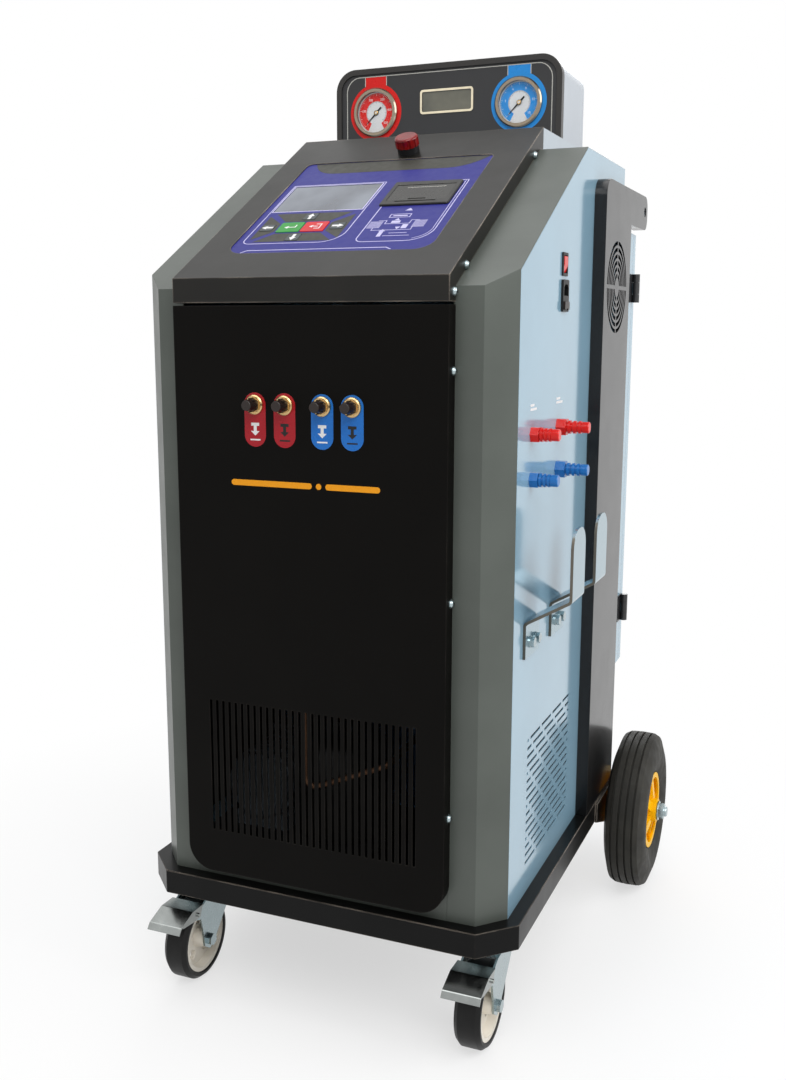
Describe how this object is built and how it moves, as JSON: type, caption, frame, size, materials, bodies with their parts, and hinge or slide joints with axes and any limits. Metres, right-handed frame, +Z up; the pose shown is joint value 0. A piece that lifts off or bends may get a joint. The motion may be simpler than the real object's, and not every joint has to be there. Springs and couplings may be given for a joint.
{
  "type": "air conditioning recharge station",
  "caption": "Upright service cart with a sloped control face, gauge pod, hose hooks, rear wheels and front casters.",
  "frame": {"origin": "on the floor, under the middle of the overall box", "axes": "+Z up, +Y towards the push handle, +X to the side with the mains switch and hose hooks"},
  "size_m": [0.776, 0.8088, 1.414],
  "materials": {
    "base_tray": "satin black paint",
    "corner_posts": "pale grey paint",
    "side_panel_left": "gloss pale blue paint",
    "side_panel_right": "gloss pale blue paint",
    "top_cover": "gloss pale paint",
    "front_panel": "gloss black paint",
    "control_hood": "gloss black paint",
    "keypad_overlay": "printed film",
    "control_board": "circuit board",
    "printer_body": "moulded black",
    "printer_lid": "moulded black",
    "alarm_lamp_base": "moulded black",
    "alarm_lamp_lens": "clear red",
    "pod_housing": "satin black paint",
    "pod_face": "grey paint",
    "gauge_cases": "bright rim",
    "gauge_dials": "printed dial",
    "needle_left": "dark",
    "needle_right": "dark",
    "port_fittings": "turned",
    "port_caps": "ribbed black",
    "rocker_bezel": "moulded black",
    "rocker": "red",
    "mains_inlet": "moulded black",
    "fuse_drawer": "moulded black",
    "coupler_posts_red": "red",
    "coupler_posts_blue": "blue",
    "hose_hooks": "pale paint",
    "hook_bolts": "zinc plated",
    "rear_columns": "gloss black paint",
    "push_handle": "pale paint",
    "fan_frame": "black",
    "fan_rotor": "black",
    "back_panel": "gloss pale blue paint",
    "rear_housing": "gloss pale blue paint",
    "rear_door": "gloss pale blue paint",
    "rear_axle": "zinc plated",
    "rear_tyre": "ribbed",
    "rear_rim": "yellow",
    "caster_plates": "zinc plated",
    "caster_fork": "zinc plated",
    "caster_pedal": "chromed",
    "caster_wheel": "grey tread on a cream rim",
    "refrigerant_tank": "painted steel",
    "compressor": "black paint",
    "vacuum_pump": "painted casting",
    "condenser": "bare",
    "refrigerant_lines": "copper and brass",
    "filter_drier": "painted steel",
    "key_green": "green",
    "key_red": "red",
    "key_arrow": "dark"
  },
  "bodies": {
    "cabinet": {"base_tray": "base_tray", "corner_posts": "corner_posts", "side_panel_left": "side_panel_left", "side_panel_right": "side_panel_right", "top_cover": "top_cover", "front_panel": "front_panel", "control_hood": "control_hood", "keypad_overlay": "keypad_overlay", "control_board": "control_board", "printer_body": "printer_body", "alarm_lamp_base": "alarm_lamp_base", "alarm_lamp_lens": "alarm_lamp_lens", "pod_housing": "pod_housing", "pod_face": "pod_face", "gauge_cases": "gauge_cases", "gauge_dials": "gauge_dials", "port_fittings": "port_fittings", "port_caps": "port_caps", "rocker_bezel": "rocker_bezel", "mains_inlet": "mains_inlet", "coupler_posts_red": "coupler_posts_red", "coupler_posts_blue": "coupler_posts_blue", "hose_hooks": "hose_hooks", "hook_bolts": "hook_bolts", "rear_columns": "rear_columns", "push_handle": "push_handle", "fan_frame": "fan_frame", "back_panel": "back_panel", "rear_housing": "rear_housing", "rear_axle": "rear_axle", "caster_plates": "caster_plates", "refrigerant_tank": "refrigerant_tank", "compressor": "compressor", "vacuum_pump": "vacuum_pump", "condenser": "condenser", "refrigerant_lines": "refrigerant_lines", "filter_drier": "filter_drier"},
    "key_enter": {"key_enter": "key_green"},
    "key_exit": {"key_exit": "key_red"},
    "key_up": {"key_up": "key_arrow"},
    "key_down": {"key_down": "key_arrow"},
    "key_left": {"key_left": "key_arrow"},
    "key_right": {"key_right": "key_arrow"},
    "printer_lid": {"printer_lid": "printer_lid"},
    "needle_left": {"needle_left": "needle_left"},
    "needle_right": {"needle_right": "needle_right"},
    "rocker": {"rocker": "rocker"},
    "fuse_drawer": {"fuse_drawer": "fuse_drawer"},
    "fan_rotor": {"fan_rotor": "fan_rotor"},
    "rear_door": {"rear_door": "rear_door"},
    "rear_wheel_left": {"rear_tyre_left": "rear_tyre", "rear_rim_left": "rear_rim"},
    "rear_wheel_right": {"rear_tyre_right": "rear_tyre", "rear_rim_right": "rear_rim"},
    "caster_fork_left": {"caster_fork_left": "caster_fork"},
    "caster_fork_right": {"caster_fork_right": "caster_fork"},
    "caster_pedal_left": {"caster_pedal_left": "caster_pedal"},
    "caster_pedal_right": {"caster_pedal_right": "caster_pedal"},
    "caster_wheel_left": {"caster_wheel_left": "caster_wheel"},
    "caster_wheel_right": {"caster_wheel_right": "caster_wheel"}
  },
  "joints": [
    {"name": "key_enter_press", "type": "slide", "parent": "cabinet", "child": "key_enter", "axis": [0, 0.497, -0.8678], "range_m": [0, 0.0006], "stiffness_N_per_m": 500, "springref_m": -0.0005},
    {"name": "key_exit_press", "type": "slide", "parent": "cabinet", "child": "key_exit", "axis": [0, 0.497, -0.8678], "range_m": [0, 0.0006], "stiffness_N_per_m": 500, "springref_m": -0.0005},
    {"name": "key_up_press", "type": "slide", "parent": "cabinet", "child": "key_up", "axis": [0, 0.497, -0.8678], "range_m": [0, 0.0006], "stiffness_N_per_m": 500, "springref_m": -0.0005},
    {"name": "key_down_press", "type": "slide", "parent": "cabinet", "child": "key_down", "axis": [0, 0.497, -0.8678], "range_m": [0, 0.0006], "stiffness_N_per_m": 500, "springref_m": -0.0005},
    {"name": "key_left_press", "type": "slide", "parent": "cabinet", "child": "key_left", "axis": [0, 0.497, -0.8678], "range_m": [0, 0.0006], "stiffness_N_per_m": 500, "springref_m": -0.0005},
    {"name": "key_right_press", "type": "slide", "parent": "cabinet", "child": "key_right", "axis": [0, 0.497, -0.8678], "range_m": [0, 0.0006], "stiffness_N_per_m": 500, "springref_m": -0.0005},
    {"name": "printer_lid_hinge", "type": "hinge", "parent": "cabinet", "child": "printer_lid", "pos_m": [0.0775, -0.1458, 1.188], "axis": [-1, 0, 0], "range_deg": [0, 80]},
    {"name": "needle_left_turn", "type": "hinge", "parent": "cabinet", "child": "needle_left", "pos_m": [-0.124, 0.13735, 1.344], "axis": [0, 1, 0], "range_deg": [0, 270], "stiffness_Nm_per_rad": 0.002, "springref_deg": -5.73},
    {"name": "needle_right_turn", "type": "hinge", "parent": "cabinet", "child": "needle_right", "pos_m": [0.124, 0.13735, 1.344], "axis": [0, 1, 0], "range_deg": [0, 270], "stiffness_Nm_per_rad": 0.002, "springref_deg": -5.73},
    {"name": "rocker_tilt", "type": "hinge", "parent": "cabinet", "child": "rocker", "pos_m": [0.2685, -0.11065, 1.078], "axis": [0, -1, 0], "range_deg": [0, 18]},
    {"name": "fuse_drawer_slide", "type": "slide", "parent": "cabinet", "child": "fuse_drawer", "axis": [1, 0, 0], "range_m": [0, 0.022]},
    {"name": "fan_spin", "type": "hinge", "parent": "cabinet", "child": "fan_rotor", "pos_m": [0.25, 0.14935, 1.054], "axis": [1, 0, 0], "continuous": true},
    {"name": "rear_door_hinge", "type": "hinge", "parent": "cabinet", "child": "rear_door", "pos_m": [0.2826, 0.33435, 0.77], "axis": [0, 0, -1], "range_deg": [0, 110]},
    {"name": "rear_wheel_left_roll", "type": "hinge", "parent": "cabinet", "child": "rear_wheel_left", "pos_m": [-0.3327, 0.26805, 0.1364], "axis": [1, 0, 0], "continuous": true},
    {"name": "caster_left_swivel", "type": "hinge", "parent": "cabinet", "child": "caster_fork_left", "pos_m": [-0.232, -0.27865, 0.145], "axis": [0, 0, 1], "continuous": true},
    {"name": "caster_left_pedal", "type": "hinge", "parent": "caster_fork_left", "child": "caster_pedal_left", "pos_m": [-0.232, -0.35165, 0.119], "axis": [1, 0, 0], "range_deg": [0, 15]},
    {"name": "caster_left_roll", "type": "hinge", "parent": "caster_fork_left", "child": "caster_wheel_left", "pos_m": [-0.232, -0.31665, 0.062], "axis": [1, 0, 0], "continuous": true},
    {"name": "rear_wheel_right_roll", "type": "hinge", "parent": "cabinet", "child": "rear_wheel_right", "pos_m": [0.3327, 0.26805, 0.1364], "axis": [1, 0, 0], "continuous": true},
    {"name": "caster_right_swivel", "type": "hinge", "parent": "cabinet", "child": "caster_fork_right", "pos_m": [0.232, -0.27865, 0.145], "axis": [0, 0, 1], "continuous": true},
    {"name": "caster_right_pedal", "type": "hinge", "parent": "caster_fork_right", "child": "caster_pedal_right", "pos_m": [0.232, -0.35165, 0.119], "axis": [1, 0, 0], "range_deg": [0, 15]},
    {"name": "caster_right_roll", "type": "hinge", "parent": "caster_fork_right", "child": "caster_wheel_right", "pos_m": [0.232, -0.31665, 0.062], "axis": [1, 0, 0], "continuous": true}
  ]
}
